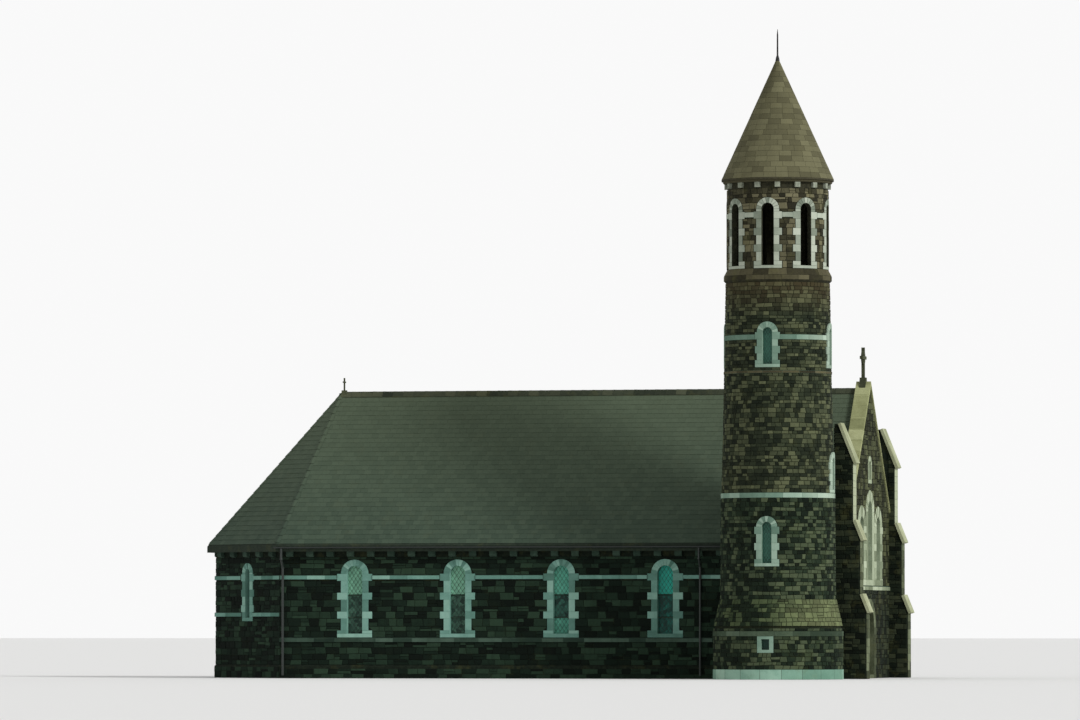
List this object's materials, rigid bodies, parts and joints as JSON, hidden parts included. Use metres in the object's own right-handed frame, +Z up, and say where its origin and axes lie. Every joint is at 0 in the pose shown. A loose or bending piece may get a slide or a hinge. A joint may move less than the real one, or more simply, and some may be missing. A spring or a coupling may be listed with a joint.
{
  "type": "small stone chapel with a round bell tower",
  "caption": "Stone chapel with a gabled front between stepped piers, a canted apse, and a round tower with an arcaded belfry under a stone cone.",
  "frame": {"origin": "on the nave's centre line at ground level, halfway along the nave, in the underside of its floor", "axes": "+X out of the gabled front, +Y away from the tower side, +Z up"},
  "size_m": [29.0369, 15.0898, 26.5],
  "materials": {
    "nave_rubble": "rough",
    "tower_rubble": "rough",
    "belfry_stone": "rough",
    "cone_stone": "rough",
    "gable_stone": "rough",
    "pier_stone": "rough",
    "dressed_stone": "matt",
    "floor_stone": "matt",
    "roof_slate": "matt",
    "ridge_clay": "matt",
    "painted_iron": "satin",
    "leaded_glass": "gloss",
    "door_wood": "matt"
  },
  "bodies": {
    "root": {"nave_floor": "floor_stone", "plinth": "nave_rubble", "near_wall": "nave_rubble", "far_wall": "nave_rubble", "apse_near_wall": "nave_rubble", "apse_end_wall": "nave_rubble", "apse_far_wall": "nave_rubble", "front_gable_wall": "gable_stone", "gable_coping": "dressed_stone", "gable_cross": "dressed_stone", "near_pier": "pier_stone", "far_pier": "pier_stone", "pier_weatherings": "dressed_stone", "near_roof_slope": "roof_slate", "far_roof_slope": "roof_slate", "apse_roof": "roof_slate", "ridge_tiles": "ridge_clay", "apse_finial": "dressed_stone", "near_corbel_table": "dressed_stone", "far_corbel_table": "dressed_stone", "apse_corbel_table": "dressed_stone", "rainwater_pipes": "painted_iron", "string_courses": "dressed_stone", "nave_window_surrounds": "dressed_stone", "nave_window_glass": "leaded_glass", "apse_window_surrounds": "dressed_stone", "apse_window_glass": "leaded_glass", "front_window_surrounds": "dressed_stone", "front_window_glass": "leaded_glass", "door_surround": "dressed_stone", "door_leaves": "door_wood", "tower_base_course": "dressed_stone", "tower_base_drum": "tower_rubble", "tower_lower_stage": "tower_rubble", "tower_middle_stage": "tower_rubble", "tower_upper_stage": "tower_rubble", "tower_bands": "dressed_stone", "tower_window_surrounds": "dressed_stone", "tower_window_glass": "leaded_glass", "belfry_wall": "belfry_stone", "belfry_surrounds": "dressed_stone", "belfry_floor": "door_wood", "belfry_eaves": "belfry_stone", "cone_roof": "cone_stone", "spire_finial": "painted_iron"}
  },
  "joints": []
}
